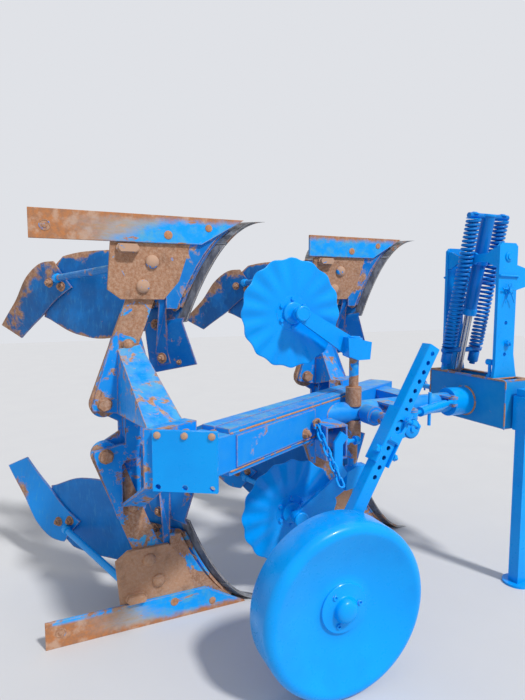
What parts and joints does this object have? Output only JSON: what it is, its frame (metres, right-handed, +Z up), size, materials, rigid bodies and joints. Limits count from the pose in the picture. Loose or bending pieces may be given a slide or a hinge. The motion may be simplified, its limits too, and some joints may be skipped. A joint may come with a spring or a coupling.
{
  "type": "two-furrow reversible mouldboard plough",
  "caption": "Mounted reversible mouldboard plough: paired ploughing bodies on a diagonal beam, turnover headstock, depth wheel and wavy disc coulters.",
  "frame": {"origin": "on the ground, at the middle of the plough's bounding box", "axes": "+X forward, the direction of travel and the longest side; +Y left; +Z up"},
  "size_m": [2.2866, 1.867, 1.6468],
  "materials": {
    "paint": "glossy new blue paint",
    "worn_paint": "older blue paint, chipped, with rust at edges and welds",
    "rusty_steel": "brown rusted steel with remains of blue paint",
    "worn_steel": "soil-worn steel with rust and blue paint at the front",
    "board_paint": "blue paint, worn at the edges",
    "rod_steel": "polished piston rod"
  },
  "bodies": {
    "headstock": {"cross_trough": "worn_paint", "shaft_bearing": "paint", "tower_posts": "paint", "tower_bridge": "paint", "top_link_bracket": "paint", "hitch_shaft": "paint", "stand_sleeve": "paint"},
    "turning_frame": {"turnover_shaft": "worn_paint", "crank": "worn_paint", "main_beam": "worn_paint", "end_flange": "paint", "frame_tie": "worn_paint", "rear_bracket": "worn_paint", "front_bracket": "worn_paint", "leg_rear_lower": "rusty_steel", "leg_rear_upper": "rusty_steel", "leg_front_lower": "rusty_steel", "leg_front_upper": "rusty_steel", "frog_rear_lower": "rusty_steel", "frog_rear_upper": "rusty_steel", "frog_front_lower": "rusty_steel", "frog_front_upper": "rusty_steel", "landside_rear_lower": "worn_steel", "landside_rear_upper": "worn_steel", "landside_front_lower": "worn_steel", "landside_front_upper": "worn_steel", "share_rear_lower": "worn_steel", "share_rear_upper": "worn_steel", "share_front_lower": "worn_steel", "share_front_upper": "worn_steel", "mouldboard_rear_lower": "board_paint", "mouldboard_rear_upper": "board_paint", "mouldboard_front_lower": "board_paint", "mouldboard_front_upper": "board_paint", "tail_rear_lower": "board_paint", "tail_rear_upper": "board_paint", "tail_front_lower": "board_paint", "tail_front_upper": "board_paint", "cover_rear_lower": "board_paint", "cover_rear_upper": "board_paint", "cover_front_lower": "board_paint", "cover_front_upper": "board_paint", "coulter_stems": "worn_paint", "wheel_pivot": "worn_paint", "spindle": "paint", "spindle_lugs": "worn_paint", "chain": "paint"},
    "parking_stand": {"parking_stand": "paint"},
    "coulter_upper": {"coulter_arm_upper": "paint"},
    "coulter_disc_upper": {"disc_upper": "paint"},
    "coulter_lower": {"coulter_arm_lower": "paint"},
    "coulter_disc_lower": {"disc_lower": "paint"},
    "wheel_arm": {"wheel_arm": "paint", "wheel_leg": "paint"},
    "depth_wheel": {"depth_wheel": "paint"},
    "turn_cylinder": {"turn_cylinder": "paint", "return_springs": "paint"},
    "turn_rod": {"turn_rod": "rod_steel"}
  },
  "joints": [
    {"name": "turnover", "type": "hinge", "parent": "headstock", "child": "turning_frame", "pos_m": [0.8433, -0.37096, 0.78], "axis": [1, 0, 0], "range_deg": [0, 180]},
    {"name": "stand_slide", "type": "slide", "parent": "headstock", "child": "parking_stand", "axis": [0, 0, 1], "range_m": [0, 0.42]},
    {"name": "coulter_swivel_upper", "type": "hinge", "parent": "turning_frame", "child": "coulter_upper", "pos_m": [0.2083, -0.38596, 1.055], "axis": [0, 0, 1], "range_deg": [-15, 15]},
    {"name": "disc_spin_upper", "type": "hinge", "parent": "coulter_upper", "child": "coulter_disc_upper", "pos_m": [-0.0427, -0.30596, 1.199], "axis": [0, 1, 0], "continuous": true},
    {"name": "coulter_swivel_lower", "type": "hinge", "parent": "turning_frame", "child": "coulter_lower", "pos_m": [0.2083, -0.38596, 0.505], "axis": [0, 0, 1], "range_deg": [-15, 15]},
    {"name": "disc_spin_lower", "type": "hinge", "parent": "coulter_lower", "child": "coulter_disc_lower", "pos_m": [-0.0427, -0.30596, 0.361], "axis": [0, 1, 0], "continuous": true},
    {"name": "wheel_swing", "type": "hinge", "parent": "turning_frame", "child": "wheel_arm", "pos_m": [0.2493, -0.65796, 0.78], "axis": [0, 1, 0], "range_deg": [0, 100.6]},
    {"name": "wheel_spin", "type": "hinge", "parent": "wheel_arm", "child": "depth_wheel", "pos_m": [-0.1557, -0.85347, 0.2875], "axis": [0, 1, 0], "continuous": true},
    {"name": "cylinder_swing", "type": "hinge", "parent": "headstock", "child": "turn_cylinder", "pos_m": [0.9063, -0.37096, 1.44], "axis": [1, 0, 0], "range_deg": [-23.95, 0]},
    {"name": "rod_slide", "type": "slide", "parent": "turn_cylinder", "child": "turn_rod", "axis": [0, -0.2075, 0.9782], "range_m": [0, 0.1547], "deforming": ["return_springs"]}
  ],
  "couplings": [
    {"joint": "cylinder_swing", "follows": "turnover", "ratio": -0.13307}
  ]
}
